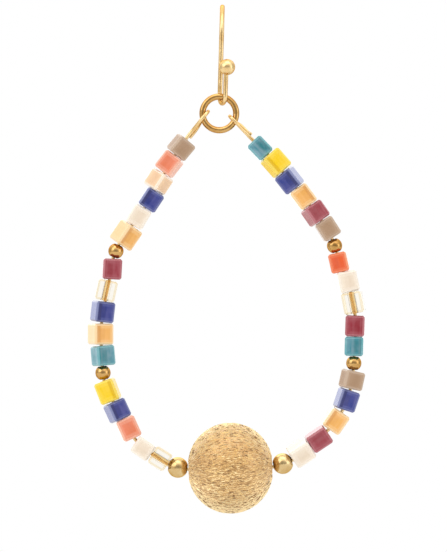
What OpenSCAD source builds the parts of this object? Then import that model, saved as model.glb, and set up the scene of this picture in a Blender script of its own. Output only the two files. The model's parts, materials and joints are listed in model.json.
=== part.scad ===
// Beaded teardrop earring: an ear wire, a jump ring, and a stiff wire bent to a teardrop
// that carries glass cubes, small plated balls and one large brushed ball.
// Millimetres, +Z is up. The loop hangs across X and its front faces -Y.
// The origin is the crown of the ear wire, the point that hangs in the ear.

/* [Ear wire] */
// Thickness of the ear wire
hook_d = 0.7; // [0.6:0.05:0.8]
// Radius of the arch that goes through the ear, to the middle of the wire
arch_r = 4.5; // [4:0.25:5.5]
// Height from the middle of the wire at the crown to the middle of the wire in the small loop
hook_h = 14.8; // [14:0.2:20]
// Radius of the small loop that carries the jump ring, to the middle of the wire
eyelet_r = 1.05; // [1:0.05:1.2]
// How far the small loop is turned from edge-on, in degrees
eyelet_turn = 23; // [15:1:30]
// How far the ear wire leans sideways, in degrees
hook_lean = 1.6; // [0:0.2:3]
// Diameter of the ball on the end of the small loop
hook_ball_d = 2.4; // [2:0.1:2.5]
// Length of the straight end of the tail behind the ear
tail_pin = 4.5; // [3:0.5:6]

/* [Jump ring] */
// Outer diameter of the jump ring
ring_d = 6; // [5.8:0.1:7]
// Thickness of the jump ring's wire
ring_wire_d = 0.95; // [0.8:0.05:1]
// Width of the cut where the jump ring closes
ring_cut = 0.06; // [0.04:0.01:0.1]
// How far round the jump ring the ear wire sits from its top, in degrees
ring_roll = 11; // [0:1:15]

/* [Bead wire] */
// Thickness of the wire that the beads are strung on
thread_d = 0.5; // [0.4:0.05:0.5]
// Width of the teardrop across the middle of the wire
loop_w = 38; // [38:0.5:40]
// Height of the teardrop from the jump ring to the lowest point of the wire
loop_h = 52.5; // [52.5:0.5:58]
// Bare wire between the jump ring and the first bead on each side
bare_wire = 4.1; // [4:0.1:4.4]

/* [Beads] */
// Bore of the glass cubes
cube_bore = 1.2; // [1.15:0.05:1.3]
// Width of the bevel along the edges of the glass cubes
cube_bevel = 0.25; // [0.15:0.05:0.35]
// Diameter of the small balls
small_ball_d = 2.3; // [2:0.1:2.4]
// Diameter of the two balls beside the brushed ball
spacer_ball_d = 3.1; // [2.8:0.1:3.2]
// Bore of the balls
ball_bore = 1; // [0.9:0.05:1.1]
// Diameter of the brushed ball across its holes' axis
brushed_d = 13.5; // [12:0.1:14]
// Length of the brushed ball from hole to hole
brushed_len = 12.6; // [11.5:0.1:12.8]
// Wall of the hollow brushed ball
brushed_wall = 0.4; // [0.3:0.05:0.6]

/* [Hidden] */
GOLD = "#d9a95b";
BRUSHED_GOLD = "#dfb878";
ROUND = 64;

// The straight shank ends where the small loop begins
shank_h = hook_h - arch_r - eyelet_r;

// Middle of the small loop, first in the ear wire's own plane and then as the ear wire leans
flat_eyelet = [eyelet_r * sin(eyelet_turn), -arch_r - eyelet_r * cos(eyelet_turn), eyelet_r - hook_h];
eyelet = [
    flat_eyelet.x * cos(hook_lean) + flat_eyelet.z * sin(hook_lean),
    flat_eyelet.y,
    flat_eyelet.z * cos(hook_lean) - flat_eyelet.x * sin(hook_lean),
];

// The jump ring hangs in the small loop, and the teardrop hangs in the jump ring's plane
drop_y = eyelet.y;
ring_r = (ring_d - ring_wire_d) / 2;
ring_play = 0.13;
ring_seat_z = eyelet.z - eyelet_r + (hook_d + ring_wire_d) / 2 + ring_play;
ring_middle = [eyelet.x - ring_r * sin(ring_roll), drop_y, ring_seat_z - ring_r * cos(ring_roll)];

// Course of the bead wire, from the jump ring's left side round to its right side:
// how far across from the middle of the jump ring, and how far below it, on the nominal loop
NOMINAL_LOOP = [38, 52.5];
COURSE = [
    // [across, below]
    [-2.45, 0.65],
    [-4.7, 3.4],
    [-7.6, 7.8],
    [-10.9, 13.7],
    [-14.4, 18.6],
    [-15.8, 21.2],
    [-16.3, 24],
    [-17.7, 31.7],
    [-17.6, 36.3],
    [-17.1, 40.7],
    [-13.6, 47.4],
    [-11.5, 50.1],
    [-8.9, 51.8],
    [-6.2, 53.3],
    [1.5, 53.2],
    [9.2, 52.8],
    [13.4, 50],
    [17.4, 46.2],
    [19.7, 41.2],
    [20.4, 32.7],
    [20.1, 28.5],
    [18.9, 24.6],
    [17.5, 20.5],
    [16.3, 17.6],
    [13.2, 13.3],
    [8.2, 7.2],
    [5, 4],
    [2.25, 1.15],
];

// The beads in order down the left side and up the right one, with the sizes of the glass cubes.
// The turn is about the wire and shows a cube's face inside the loop (+) or outside it (-).
// The bores are wider than the wire, so a cube can also lean on it and sit aside, inwards (+).
KIND = 0;
LENGTH = 1;
WIDTH = 2;
TURN = 3;
LEAN = 4;
ASIDE = 5;
BEADS = [
    // [kind, length, width, turn, lean, aside]
    ["taupe", 2.85, 2.95, -17, -6, 0.1],
    ["coral", 3.1, 2.9, 12, -7, -0.05],
    ["peach", 2.8, 2.85, 39, -5, -0.15],
    ["navy", 2.95, 2.9, -8, -3, 0.15],
    ["ivory", 3.15, 2.85, -3, 5, 0],
    ["apricot", 3.35, 3, -37, 0, 0.1],
    ["small_ball"],
    ["burgundy", 3.1, 2.85, -6, 6, 0.1],
    ["crystal", 3.1, 2.95, -3, -1, -0.15],
    ["navy", 3.1, 2.95, -20, 3, -0.1],
    ["apricot", 3.15, 3.1, -25, 1, -0.1],
    ["teal", 3, 2.9, -25, 2, 0.2],
    ["small_ball"],
    ["yellow", 3.35, 2.95, 8, -2, -0.1],
    ["navy", 2.9, 2.9, -21, -4, -0.1],
    ["coral", 3.3, 2.9, -6, -7, 0],
    ["ivory", 2.95, 2.75, 5, 6, -0.1],
    ["crystal", 2.8, 2.9, -5, 3, 0.1],
    ["spacer_ball"],
    ["brushed_ball"],
    ["spacer_ball"],
    ["ivory", 3.3, 3, 23, -6, 0.1],
    ["burgundy", 3.3, 2.8, 9, -7, -0.1],
    ["apricot", 3.2, 3, 7, 2, 0],
    ["navy", 3.1, 2.9, 14, 2, 0],
    ["taupe", 2.75, 3, 17, -4, 0],
    ["small_ball"],
    ["teal", 2.9, 2.8, -3, 1, 0.1],
    ["burgundy", 3.15, 2.9, -4, -2, 0],
    ["crystal", 3.25, 3, -9, -1, -0.1],
    ["ivory", 3.15, 2.95, 5, -7, -0.1],
    ["orange", 2.95, 2.75, -7, -6, 0.15],
    ["small_ball"],
    ["taupe", 3.05, 2.85, 3, 2, -0.2],
    ["burgundy", 2.8, 2.95, 20, -2, 0.05],
    ["apricot", 3.2, 2.9, 3, -2, 0],
    ["navy", 3.1, 2.9, -18, -1, 0.05],
    ["yellow", 3.3, 3, 16, 0, -0.1],
    ["teal", 3, 2.65, 3, -2, 0.15],
];

// The colours of the glass
GLASS = [
    // [kind, colour]
    ["taupe", "#b59a84"],
    ["coral", "#f59b7f"],
    ["peach", "#fbd9ae"],
    ["navy", "#3c4796"],
    ["ivory", "#f5e8d3"],
    ["apricot", "#f9c07a"],
    ["burgundy", "#a64a5a"],
    ["crystal", "#fbf6e3"],
    ["teal", "#3f9aad"],
    ["yellow", "#fbdd2a"],
    ["orange", "#f2643c"],
];

function two_digits(n) = n < 10 ? str("0", n) : str(n);
function bead_name(i) = str("bead_", two_digits(i + 1), "_", BEADS[i][KIND]);

function unit(v) = v / norm(v);

// A smooth curve through hand-set points, in any number of dimensions
function spline_point(a, b, c, d, t) =
    0.5 * (2 * b + (c - a) * t + (2 * a - 5 * b + 4 * c - d) * t ^ 2 + (3 * b - a - 3 * c + d) * t ^ 3);
function spline(points, steps) =
    let (
        last = len(points) - 1,
        ends = concat([2 * points[0] - points[1]], points, [2 * points[last] - points[last - 1]])
    )
    concat(
        [for (i = [0:last - 1])
            for (k = [0:steps - 1])
                spline_point(ends[i], ends[i + 1], ends[i + 2], ends[i + 3], k / steps)],
        [points[last]]
    );

// The course at this loop's size, and the distance along it of each of its points
COURSE_STEPS = 10;
course = spline(
    [for (p = COURSE) [p.x * loop_w / NOMINAL_LOOP.x, -p.y * loop_h / NOMINAL_LOOP.y]],
    COURSE_STEPS
);
function step_from(i) = i + 1 < len(course) ? norm(course[i + 1] - course[i]) : 0;
way = [for (i = 0, s = 0; i < len(course); s = s + step_from(i), i = i + 1) s];
way_across = [for (i = [0:len(course) - 1]) [way[i], course[i].x]];
way_up = [for (i = [0:len(course) - 1]) [way[i], course[i].y]];
way_length = way[len(way) - 1];
function on_course(s) =
    [ring_middle.x + lookup(s, way_across), drop_y, ring_middle.z + lookup(s, way_up)];

// The length of a bead along the wire, from hole to hole where it is a ball
function drilled_length(d) = sqrt(d ^ 2 - ball_bore ^ 2);
function bead_length(i) =
    let (kind = BEADS[i][KIND])
    kind == "small_ball" ? drilled_length(small_ball_d) :
    kind == "spacer_ball" ? drilled_length(spacer_ball_d) :
    kind == "brushed_ball" ? brushed_len :
    BEADS[i][LENGTH];

// How far a bead reaches from its middle, in a direction at an angle to its own axis
function is_cube(i) = len(BEADS[i]) > 1;
function bead_reach(i, angle) =
    let (
        half = bead_length(i) / 2,
        turn = is_cube(i) ? BEADS[i][TURN] : 0,
        depth = is_cube(i) ? BEADS[i][WIDTH] / 2 * (abs(cos(turn)) + abs(sin(turn))) : ball_bore / 2,
        bevel = is_cube(i) ? cube_bevel : 0
    )
    max(
        half * abs(cos(angle)) + (depth - bevel) * abs(sin(angle)),
        (half - bevel) * abs(cos(angle)) + depth * abs(sin(angle))
    );

// Where the two holes of a bead are when it is this far along the wire, and its middle and
// the way it points there
function bead_holes(i, at) = [on_course(at - bead_length(i) / 2), on_course(at + bead_length(i) / 2)];
function bead_middle(i, at) = let (holes = bead_holes(i, at)) (holes[0] + holes[1]) / 2;
function angle_of(v) = atan2(v.z, v.x);
function bead_angle(i, at) =
    let (holes = bead_holes(i, at))
    angle_of(holes[1] - holes[0]) + (is_cube(i) ? BEADS[i][LEAN] : 0);

// How far apart along the wire two neighbours touch, found across the ends of each of them and
// halfway between, when they are near these distances along it
function clear_of(i, angles, across, string) =
    let (
        here = across - angles[0],
        there = across - angles[1],
        aside = (is_cube(i) ? BEADS[i][ASIDE] : 0) * sin(here),
        next_aside = (is_cube(i + 1) ? BEADS[i + 1][ASIDE] : 0) * sin(there)
    )
    (bead_reach(i, here) + bead_reach(i + 1, there) + aside - next_aside) / cos(across - string);
function pitch(i, ways) =
    let (
        angles = [bead_angle(i, ways[i]), bead_angle(i + 1, ways[i + 1])],
        chord = bead_middle(i + 1, ways[i + 1]) - bead_middle(i, ways[i]),
        string = angle_of(chord),
        touching = min([
            for (across = [angles[0], angles[1], (angles[0] + angles[1]) / 2])
                clear_of(i, angles, across, string)
        ])
    )
    touching * (ways[i + 1] - ways[i]) / norm(chord);

// The beads along the wire: touching, and then sharing the slack. The first guess takes no
// notice of the bends, and each later one makes room for the beads' edges there.
LAST_BEAD = len(BEADS) - 1;
function sums(steps, i = 0, sum = 0) =
    i == len(steps) ? [sum] : concat([sum], sums(steps, i + 1, sum + steps[i]));
function spread(pitches) =
    let (
        touching = sums(pitches),
        first = bare_wire + bead_length(0) / 2,
        last = way_length - bare_wire - bead_length(LAST_BEAD) / 2,
        slack = (last - first - touching[LAST_BEAD]) / LAST_BEAD
    )
    [for (i = [0:LAST_BEAD]) first + touching[i] + i * slack];
function pitches_at(ways) = [for (i = [0:LAST_BEAD - 1]) pitch(i, ways)];
straight_pitches = [for (i = [0:LAST_BEAD - 1]) (bead_length(i) + bead_length(i + 1)) / 2];
bead_ways = spread(pitches_at(spread(pitches_at(spread(straight_pitches)))));

// Tangent at a point of a line, and frames carried along it without twist
function tangent(line, i) = unit(line[min(i + 1, len(line) - 1)] - line[max(i - 1, 0)]);
function carried(u, t) = unit(u - (u * t) * t);
function frames(line) = [
    for (
        i = 0, u = carried([0.3, 1, 0.2], tangent(line, 0));
        i < len(line);
        i = i + 1, u = carried(u, tangent(line, min(i, len(line) - 1)))
    ) [u, cross(tangent(line, i), u)]
];

// A closed tube along a line of points
module wire_along(line, d, sides) {
    across = frames(line);
    rings = len(line);
    skin = [
        for (i = [0:rings - 1])
            for (k = [0:sides - 1])
                let (angle = k * 360 / sides)
                line[i] + d / 2 * (cos(angle) * across[i][0] + sin(angle) * across[i][1])
    ];
    walls = [
        for (i = [0:rings - 2])
            for (k = [0:sides - 1])
                let (next = (k + 1) % sides)
                [i * sides + k, (i + 1) * sides + k, (i + 1) * sides + next, i * sides + next]
    ];
    start_cap = [for (k = [0:sides - 1]) k];
    end_cap = [for (k = [sides - 1:-1:0]) (rings - 1) * sides + k];
    polyhedron(points = skin, faces = concat(walls, [start_cap, end_cap]), convexity = 10);
}

// A straight length of wire hanging from the origin
module straight(length, d) {
    translate([0, 0, -length])
        cylinder(d = d, h = length, $fn = ROUND);
}

// A straight length of wire hanging from the origin, with a round tip
module round_tipped(length, d) {
    rotate([180, 0, 0])
        rotate_extrude($fn = ROUND)
            intersection() {
                union() {
                    translate([-d / 2, 0])
                        square([d, length - d / 2]);
                    translate([0, length - d / 2])
                        circle(d = d, $fn = ROUND);
                }
                square([d, length]);
            }
}

// A length of wire bent to a round arc in the YZ plane, from the +Y side anticlockwise
module arc(r, angle, d) {
    rotate([90, 0, 90])
        rotate_extrude(angle = angle, $fn = ROUND * 2)
            translate([r, 0])
                circle(d = d, $fn = ROUND);
}

module ear_hook() {
    tail_drop = 2;
    tail_kink = 20;
    kink_swell = 0.02;
    leg_h = 4.7;
    ball_offset = [0.12, -0.1, -0.36];
    color(GOLD)
        rotate([0, hook_lean, 0]) {
            // arch through the ear, with the shank down its front
            translate([0, 0, -arch_r])
                arc(arch_r, 180, hook_d);
            translate([0, -arch_r, -arch_r])
                straight(shank_h, hook_d);
            // small loop under the jump ring, and its front leg with the ball
            translate([0, -arch_r, -arch_r - shank_h])
                rotate([0, 0, eyelet_turn]) {
                    translate([0, -eyelet_r, 0])
                        mirror([0, 0, 1])
                            arc(eyelet_r, 180, hook_d);
                    translate([0, -2 * eyelet_r, leg_h]) {
                        straight(leg_h, hook_d);
                        translate(ball_offset)
                            sphere(d = hook_ball_d, $fn = ROUND);
                    }
                }
            // tail behind the ear, kinked out to its straight end
            translate([0, arch_r, -arch_r])
                straight(tail_drop, hook_d);
            translate([0, arch_r, -arch_r - tail_drop]) {
                sphere(d = hook_d + kink_swell, $fn = ROUND);
                rotate([tail_kink, 0, 0])
                    round_tipped(tail_pin, hook_d);
            }
        }
}

module jump_ring() {
    cut_angle = ring_cut / ring_r * 180 / PI;
    cut_at = 75;
    color(GOLD)
        translate(ring_middle)
            rotate([90, 0, 0])
                rotate([0, 0, cut_at + cut_angle / 2])
                    rotate_extrude(angle = 360 - cut_angle, $fn = ROUND * 2)
                        translate([ring_r, 0])
                            circle(d = ring_wire_d, $fn = ROUND);
}

// The eye on each end of the bead wire, from the string over the front of the jump ring,
// round its inside and back along the string
EYE = [
    // [along the string, aside, towards the back]
    [3.4, 0, 0],
    [2.3, 0, -0.18],
    [1.3, 0, -0.64],
    [0.3, 0, -0.98],
    [-0.65, 0, -0.8],
    [-1, 0, 0],
    [-0.65, 0, 0.8],
    [0.3, 0.05, 0.98],
    [1.3, 0.24, 0.72],
    [2.4, 0.36, 0.46],
    [3.6, 0.37, 0.4],
];
EYE_STEPS = 3;
STRING_STEP = 1.7;
THREAD_SIDES = 8;
LEFT_TIP = 1.22;
RIGHT_TIP = 1;
function eye_line(at, next, tip) =
    let (onward = unit(next - at), aside = [-onward.z, 0, onward.x])
    [for (e = spline(EYE, EYE_STEPS)) at + e.x * (e.x < 0 ? tip : 1) * onward + e.y * aside + [0, e.z, 0]];
function backwards(line) = [for (i = [len(line) - 1:-1:0]) line[i]];

module bead_wire() {
    eye_reach = EYE[0].x;
    left_eye = eye_line(on_course(0), on_course(eye_reach), LEFT_TIP);
    right_eye = eye_line(on_course(way_length), on_course(way_length - eye_reach), RIGHT_TIP);
    pieces = ceil((way_length - 2 * eye_reach) / STRING_STEP);
    string = [for (k = [1:pieces - 1]) on_course(eye_reach + k * (way_length - 2 * eye_reach) / pieces)];
    color(GOLD)
        wire_along(concat(backwards(left_eye), string, right_eye), thread_d, THREAD_SIDES);
}

// A cube with every edge bevelled, long axis along X
module bevelled_block(length, width, bevel) {
    across_edges = (2 * width - 2 * bevel) / sqrt(2);
    along_edges = (length + width - 2 * bevel) / sqrt(2);
    intersection() {
        cube([length, width, width], center = true);
        rotate([45, 0, 0])
            cube([2 * length, across_edges, across_edges], center = true);
        rotate([0, 45, 0])
            cube([along_edges, 2 * width, along_edges], center = true);
        rotate([0, 0, 45])
            cube([along_edges, along_edges, 2 * width], center = true);
    }
}

module bore(d, length) {
    rotate([0, 90, 0])
        cylinder(d = d, h = length, center = true, $fn = ROUND);
}

module glass_cube(length, width) {
    difference() {
        bevelled_block(length, width, cube_bevel);
        bore(cube_bore, 2 * length);
    }
}

// Half the outline of a ball, cut off at its bore and flattened towards its holes where it is short
module ball_outline(length, width) {
    intersection() {
        translate([(width - length) / 2, 0])
            circle(d = length, $fn = ROUND * 2);
        translate([ball_bore / 2, -length])
            square([width, 2 * length]);
    }
}

module drilled_ball(d) {
    rotate([0, 90, 0])
        rotate_extrude($fn = ROUND)
            ball_outline(d, d);
}

module hollow_ball() {
    rotate([0, 90, 0])
        rotate_extrude($fn = ROUND * 2)
            difference() {
                ball_outline(brushed_len, brushed_d);
                ball_outline(brushed_len - 2 * brushed_wall, brushed_d - 2 * brushed_wall);
            }
}

function glass_colour(kind) = GLASS[search([kind], GLASS)[0]][1];

// One bead in its place along the wire, in line with it but for its lean
module bead(i) {
    row = BEADS[i];
    kind = row[KIND];
    translate(bead_middle(i, bead_ways[i]))
        rotate([0, -bead_angle(i, bead_ways[i]), 0])
            if (kind == "brushed_ball") {
                color(BRUSHED_GOLD)
                    hollow_ball();
            } else if (kind == "small_ball" || kind == "spacer_ball") {
                color(GOLD)
                    drilled_ball(kind == "small_ball" ? small_ball_d : spacer_ball_d);
            } else {
                color(glass_colour(kind))
                    translate([0, 0, row[ASIDE]])
                        rotate([row[TURN], 0, 0])
                            glass_cube(row[LENGTH], row[WIDTH]);
            }
}

ear_hook();
jump_ring();
bead_wire();
for (i = [0:len(BEADS) - 1])
    bead(i);
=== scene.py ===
"""Beaded teardrop earring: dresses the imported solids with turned, swept and bevelled pieces,
glass and plated metal finishes, and a white studio."""

import json
import math

import bmesh
import bpy
from bpy.props import FloatProperty, FloatVectorProperty, IntProperty, PointerProperty
from mathutils import Matrix, Vector


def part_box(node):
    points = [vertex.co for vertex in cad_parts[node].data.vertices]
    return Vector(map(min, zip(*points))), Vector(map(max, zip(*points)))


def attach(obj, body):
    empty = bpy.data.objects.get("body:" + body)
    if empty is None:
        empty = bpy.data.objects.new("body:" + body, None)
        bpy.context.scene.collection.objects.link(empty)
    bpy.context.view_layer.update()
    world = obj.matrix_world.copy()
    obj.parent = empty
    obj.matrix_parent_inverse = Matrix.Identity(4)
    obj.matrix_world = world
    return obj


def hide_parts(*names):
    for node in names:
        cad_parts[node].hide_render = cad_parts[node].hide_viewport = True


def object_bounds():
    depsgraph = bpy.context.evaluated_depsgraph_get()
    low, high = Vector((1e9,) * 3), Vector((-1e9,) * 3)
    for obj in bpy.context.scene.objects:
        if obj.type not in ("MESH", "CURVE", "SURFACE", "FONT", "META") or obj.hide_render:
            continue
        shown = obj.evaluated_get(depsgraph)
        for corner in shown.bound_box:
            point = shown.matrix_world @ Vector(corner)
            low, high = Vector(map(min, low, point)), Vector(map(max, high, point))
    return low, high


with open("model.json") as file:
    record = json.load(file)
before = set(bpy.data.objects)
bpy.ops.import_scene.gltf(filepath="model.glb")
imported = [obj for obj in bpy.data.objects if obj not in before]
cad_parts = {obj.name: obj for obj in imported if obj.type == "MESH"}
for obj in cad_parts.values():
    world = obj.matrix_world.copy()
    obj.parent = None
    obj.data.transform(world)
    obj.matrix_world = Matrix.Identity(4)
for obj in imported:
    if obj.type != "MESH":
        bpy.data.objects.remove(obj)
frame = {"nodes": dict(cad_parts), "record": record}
CAD_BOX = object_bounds()

bl_info = {
    "name": "Beaded Teardrop Earring",
    "version": (1, 0, 0),
    "blender": (4, 5, 0),
    "location": "View3D > Sidebar > Earring",
    "description": "Builds the glass cubes, plated balls, wires and white studio of an earring",
    "category": "Add Mesh",
}

MM = 0.001
DROP = "drop"
CENTRE = sum(CAD_BOX, Vector()) / 2
SLOTS = {part["node"]: part["material_slot"] for part in frame["record"]["subparts"]}
# The beads in their order on the wire, from the left eye to the right one
BEADS = sorted(name for name in frame["nodes"] if name.startswith("bead_") and name != "bead_wire")
MIDDLES = [sum(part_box(node), Vector()) / 2 for node in BEADS]


def linear(code):
    """Turns an sRGB hex code into a scene-linear colour with full alpha."""
    parts = [int(code[i:i + 2], 16) / 255 for i in (1, 3, 5)]
    return [p / 12.92 if p <= 0.04045 else ((p + 0.055) / 1.055) ** 2.4 for p in parts] + [1.0]


def scaled(tint, factors):
    """A tint whose red, green and blue are each scaled, up to full strength."""
    return [min(1, c * k) for c, k in zip(tint, factors)] + [1.0]


def colour(name, code, description):
    """A colour property whose default is an sRGB hex code."""
    return FloatVectorProperty(
        name=name, description=description, subtype="COLOR", size=4, min=0, max=1, default=linear(code)
    )


def length(name, millimetres, description):
    """A length property whose default is in millimetres."""
    return FloatProperty(
        name=name, description=description, subtype="DISTANCE", unit="LENGTH", min=0, precision=5,
        default=millimetres * MM,
    )


def angle(name, degrees, description):
    """An angle property whose default is in degrees."""
    return FloatProperty(
        name=name, description=description, subtype="ANGLE", default=math.radians(degrees),
    )


class EarringSizes(bpy.types.PropertyGroup):
    """Sizes of the ear wire, the jump ring and the finish of the beads"""

    wire: length("Ear wire", 0.7, "Thickness of the ear wire")
    arch: length("Arch radius", 4.5, "Radius of the arch through the ear, to the middle of the wire")
    shank: length("Shank", 9.25, "Straight shank from the arch to the small loop")
    small_loop: length("Small loop radius", 1.05, "Radius of the small loop, to the middle of the wire")
    small_loop_turn: angle("Small loop turn", 23, "How far the small loop is turned from edge-on")
    front_leg: length("Front leg", 4.7, "Length of the leg in front, up to its ball")
    front_ball: length("Front ball", 2.4, "Diameter of the ball on the front leg")
    tail_drop: length("Tail drop", 2.0, "Straight tail behind the arch, down to its kink")
    tail_kink: angle("Tail kink", 20, "How far the end of the tail turns away from the ear")
    tail_pin: length("Tail end", 4.5, "Length of the tail below its kink")
    lean: angle("Lean", 1.6, "How far the ear wire leans sideways about its crown")
    ring_wire: length("Jump ring wire", 0.95, "Thickness of the jump ring's wire")
    ring_cut: length("Jump ring cut", 0.06, "Width of the cut where the jump ring closes")
    thread: length("Bead wire", 0.5, "Thickness of the wire that carries the beads")
    cube_bore: length("Cube bore", 1.2, "Bore of the glass cubes")
    cube_bevel: length("Cube bevel", 0.25, "Width of the bevel along a glass cube's edges")
    cube_rounding: length("Cube rounding", 0.07, "Rounding where a glass cube's facets meet")
    ball_bore: length("Ball bore", 1.0, "Bore of the plated balls")
    rim: length("Rim rounding", 0.08, "Rounding round the holes of the plated balls")
    brushed_wall: length("Brushed ball wall", 0.4, "Wall of the hollow brushed ball")
    stroke_length: length("Stroke length", 0.7, "Usual length of a brush stroke on the large ball")
    stroke_width: length("Stroke width", 0.08, "Usual width of a brush stroke on the large ball")
    stroke_height: length("Stroke height", 0.05, "How far the brush strokes stand up")
    strokes_per_mm2: FloatProperty(
        name="Strokes", description="Brush strokes on each square millimetre", default=15, min=0, max=20,
    )
    stroke_wander: angle("Stroke wander", 16, "How far a stroke may turn off the line from hole to hole")
    stroke_seed: IntProperty(
        name="Stroke seed", description="Chooses the pattern of strokes", default=3, min=0,
    )


class EarringColours(bpy.types.PropertyGroup):
    """Colours of the plated metal and the glass"""

    polished_gold: colour("Polished gold", "#d4af73", "Polished plating of the ring and the small balls")
    drawn_gold: colour("Drawn gold", "#f4dba8", "Plating of the ear wire and the bead wire")
    pale_gold: colour("Pale gold", "#e1cb9c", "Plating of the two balls beside the large one")
    brushed_gold: colour("Brushed gold", "#eecc94", "Brushed plating of the large ball")
    glass_taupe: colour("Taupe glass", "#b1967e", "Grey-brown milky glass")
    glass_coral: colour("Coral glass", "#ef8a69", "Pink-orange milky glass")
    glass_peach: colour("Peach glass", "#f9d7b0", "Pale peach translucent glass")
    glass_navy: colour("Navy glass", "#334296", "Deep blue glass")
    glass_ivory: colour("Ivory glass", "#f6ecdd", "Cream translucent glass")
    glass_apricot: colour("Apricot glass", "#f8bc64", "Light orange milky glass")
    glass_burgundy: colour("Burgundy glass", "#9c3445", "Wine red glass")
    glass_teal: colour("Teal glass", "#2496ae", "Green-blue glass")
    glass_yellow: colour("Yellow glass", "#fad71a", "Bright yellow glass")
    glass_orange: colour("Orange glass", "#ee6229", "Orange-red glass")
    glass_clear: colour("Clear glass", "#fffdf8", "Clear glass with a champagne tint")


class EarringStudio(bpy.types.PropertyGroup):
    """Sizes of the camera and the light"""

    distance: length("Camera distance", 600, "From the camera to the plane that the teardrop hangs in")
    frame_height: length("Frame height", 82.8, "Height of the picture in the plane of the teardrop")
    aim_across: length("Aim across", 0.165, "How far right of the crown the camera aims")
    aim_below: length("Aim below", 40.72, "How far below the crown the camera aims")
    floor_drop: length("Floor drop", 125, "How far the floor lies below the crown")
    floor_radius: length("Floor radius", 500, "Radius of the floor")
    key_power: FloatProperty(
        name="Key power", description="Power of the main softbox", unit="POWER", default=0.6,
    )
    fill_power: FloatProperty(
        name="Fill power", description="Power of each other softbox", unit="POWER", default=0.35,
    )


# Nodes. Inputs by place: a Map Range reads its value at 0, its range at 1 and 2, and what that
# becomes at 3 and 4. A Mix reads its share at 0, and its two ends at 2 and 3 for numbers or at 6
# and 7 for colours.
EASED = {"interpolation_type": "SMOOTHSTEP"}


def add(tree, kind, inputs=None, **settings):
    """Adds a node, sets its properties, and sets or links its inputs by name or place. A node
    given as an input stands for its first output in use."""
    node = tree.nodes.new(kind)
    for key, value in settings.items():
        setattr(node, key, value)
    for key, value in (inputs or {}).items():
        if isinstance(value, bpy.types.Node):
            value = next(socket for socket in value.outputs if socket.enabled)
        if isinstance(value, bpy.types.NodeSocket):
            tree.links.new(value, node.inputs[key])
        else:
            node.inputs[key].default_value = value
    return node


def new_material(name):
    """A material, its empty node tree, and the socket that gives a point's place on the piece."""
    material = bpy.data.materials.get(name) or bpy.data.materials.new(name)
    material.use_nodes = True
    tree = material.node_tree
    tree.nodes.clear()
    return material, tree, add(tree, "ShaderNodeTexCoord").outputs["Object"]


# Plated metal
def plate(name, tint, smooth, rough, ripple, grazing="#b98a4c"):
    """Gold electroplate over brass: a warm metal whose thin plate drifts a little in tone, with
    browner grazing edges and handling marks finer than a hair. Its roughness runs between two
    values, and a slow ripple bends what it mirrors."""
    material, tree, place = new_material(name)
    # The plate's tone drifts over about 2 mm
    drift = add(tree, "ShaderNodeTexNoise", {"Vector": place, "Scale": 1 / (2 * MM), "Detail": 3.0})
    share = add(tree, "ShaderNodeMapRange", {0: drift, 1: 0.35, 2: 0.65, 3: 0.0, 4: 1.0})
    deeper = scaled(tint, (0.8, 0.7, 0.55))
    tone = add(tree, "ShaderNodeMix", {0: share, 6: deeper, 7: list(tint)}, data_type="RGBA")
    # Handling marks are about 0.1 mm apart, drawn coarser than they are so that they show
    marks = add(tree, "ShaderNodeTexNoise", {"Vector": place, "Scale": 1 / (0.1 * MM), "Detail": 4.0})
    polish = add(tree, "ShaderNodeMapRange", {0: marks, 1: 0.3, 2: 0.75, 3: smooth, 4: rough})
    wear = add(tree, "ShaderNodeBump", {"Height": marks, "Strength": 0.15, "Distance": 0.01 * MM})
    waves = add(
        tree, "ShaderNodeBump", {"Height": drift, "Strength": 0.5, "Distance": ripple, "Normal": wear},
    )
    shader = add(
        tree, "ShaderNodeBsdfPrincipled",
        {"Base Color": tone, "Metallic": 1.0, "Roughness": polish, "Specular Tint": linear(grazing),
         "Normal": waves},
    )
    add(tree, "ShaderNodeOutputMaterial", {"Surface": shader})
    return material


def polished_plate(tint):
    """Tumbled and polished plate, for the small balls and the jump ring."""
    return plate("gold electroplate, polished", tint, smooth=0.1, rough=0.22, ripple=0.25 * MM)


def pale_plate(tint):
    """A thinner, paler polished plate, for the two balls beside the large one."""
    return plate(
        "gold electroplate, thin", tint, smooth=0.14, rough=0.26, ripple=0.3 * MM, grazing="#dcc084",
    )


def drawn_plate(tint):
    """Plate over drawn wire, which stays a little satin."""
    return plate("gold electroplate, drawn wire", tint, smooth=0.24, rough=0.36, ripple=0.4 * MM)


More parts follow.
